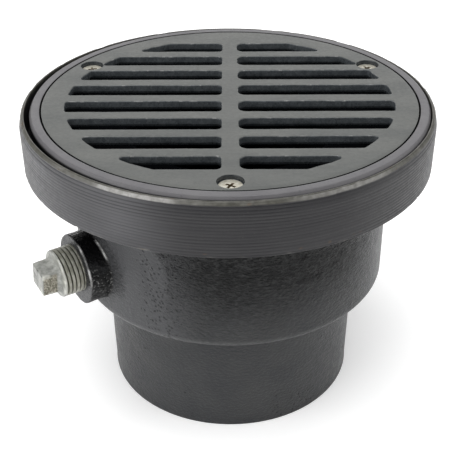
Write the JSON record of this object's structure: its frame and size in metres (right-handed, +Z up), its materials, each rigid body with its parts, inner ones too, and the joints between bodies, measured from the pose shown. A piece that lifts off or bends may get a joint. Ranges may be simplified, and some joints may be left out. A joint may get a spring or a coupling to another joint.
{
  "type": "floor drain with slotted grate",
  "caption": "Round cast-iron floor drain: a screwed-down slotted grate in an adjustable strainer head, over a sump with a plugged side tapping and a caulked bottom outlet.",
  "frame": {"origin": "centre of the outlet's bottom rim, at the mouth of the caulking socket", "axes": "+Z up along the drain's axis, towards the grate; X along the grate's slots; -Y towards the front grate screw"},
  "size_m": [0.1854, 0.1854, 0.1419],
  "materials": {
    "body_casting": "rough sand casting under dark gray paint",
    "gasket_rubber": "smooth black sheet rubber",
    "collar_casting": "turned, thinly painted, worn along its rim",
    "head_casting": "smooth turned ring, satin gray paint",
    "grate_casting": "satin gray paint over a ground casting",
    "screw_metal": "bright nickel plate",
    "plug_metal": "dull mottled galvanising"
  },
  "bodies": {
    "body": {"drain_body": "body_casting", "collar_gasket": "gasket_rubber", "top_collar": "collar_casting", "collar_screw_back": "screw_metal", "collar_screw_left": "screw_metal", "collar_screw_right": "screw_metal"},
    "strainer_head": {"strainer_head": "head_casting"},
    "grate": {"grate": "grate_casting"},
    "grate_screw_front": {"grate_screw_front": "screw_metal"},
    "grate_screw_left": {"grate_screw_left": "screw_metal"},
    "grate_screw_right": {"grate_screw_right": "screw_metal"},
    "primer_plug": {"primer_plug": "plug_metal"}
  },
  "joints": [
    {"name": "head_height", "type": "slide", "parent": "body", "child": "strainer_head", "axis": [0, 0, 1], "range_m": [0, 0.016]},
    {"name": "grate_lift", "type": "slide", "parent": "strainer_head", "child": "grate", "axis": [0, 0, 1], "range_m": [0, 0.06]},
    {"name": "front_screw_out", "type": "slide", "parent": "grate", "child": "grate_screw_front", "axis": [0, 0, 1], "range_m": [0, 0.016]},
    {"name": "left_screw_out", "type": "slide", "parent": "grate", "child": "grate_screw_left", "axis": [0, 0, 1], "range_m": [0, 0.016]},
    {"name": "right_screw_out", "type": "slide", "parent": "grate", "child": "grate_screw_right", "axis": [0, 0, 1], "range_m": [0, 0.016]},
    {"name": "plug_out", "type": "slide", "parent": "body", "child": "primer_plug", "axis": [-0.841, -0.541, 0], "range_m": [0, 0.03]}
  ]
}
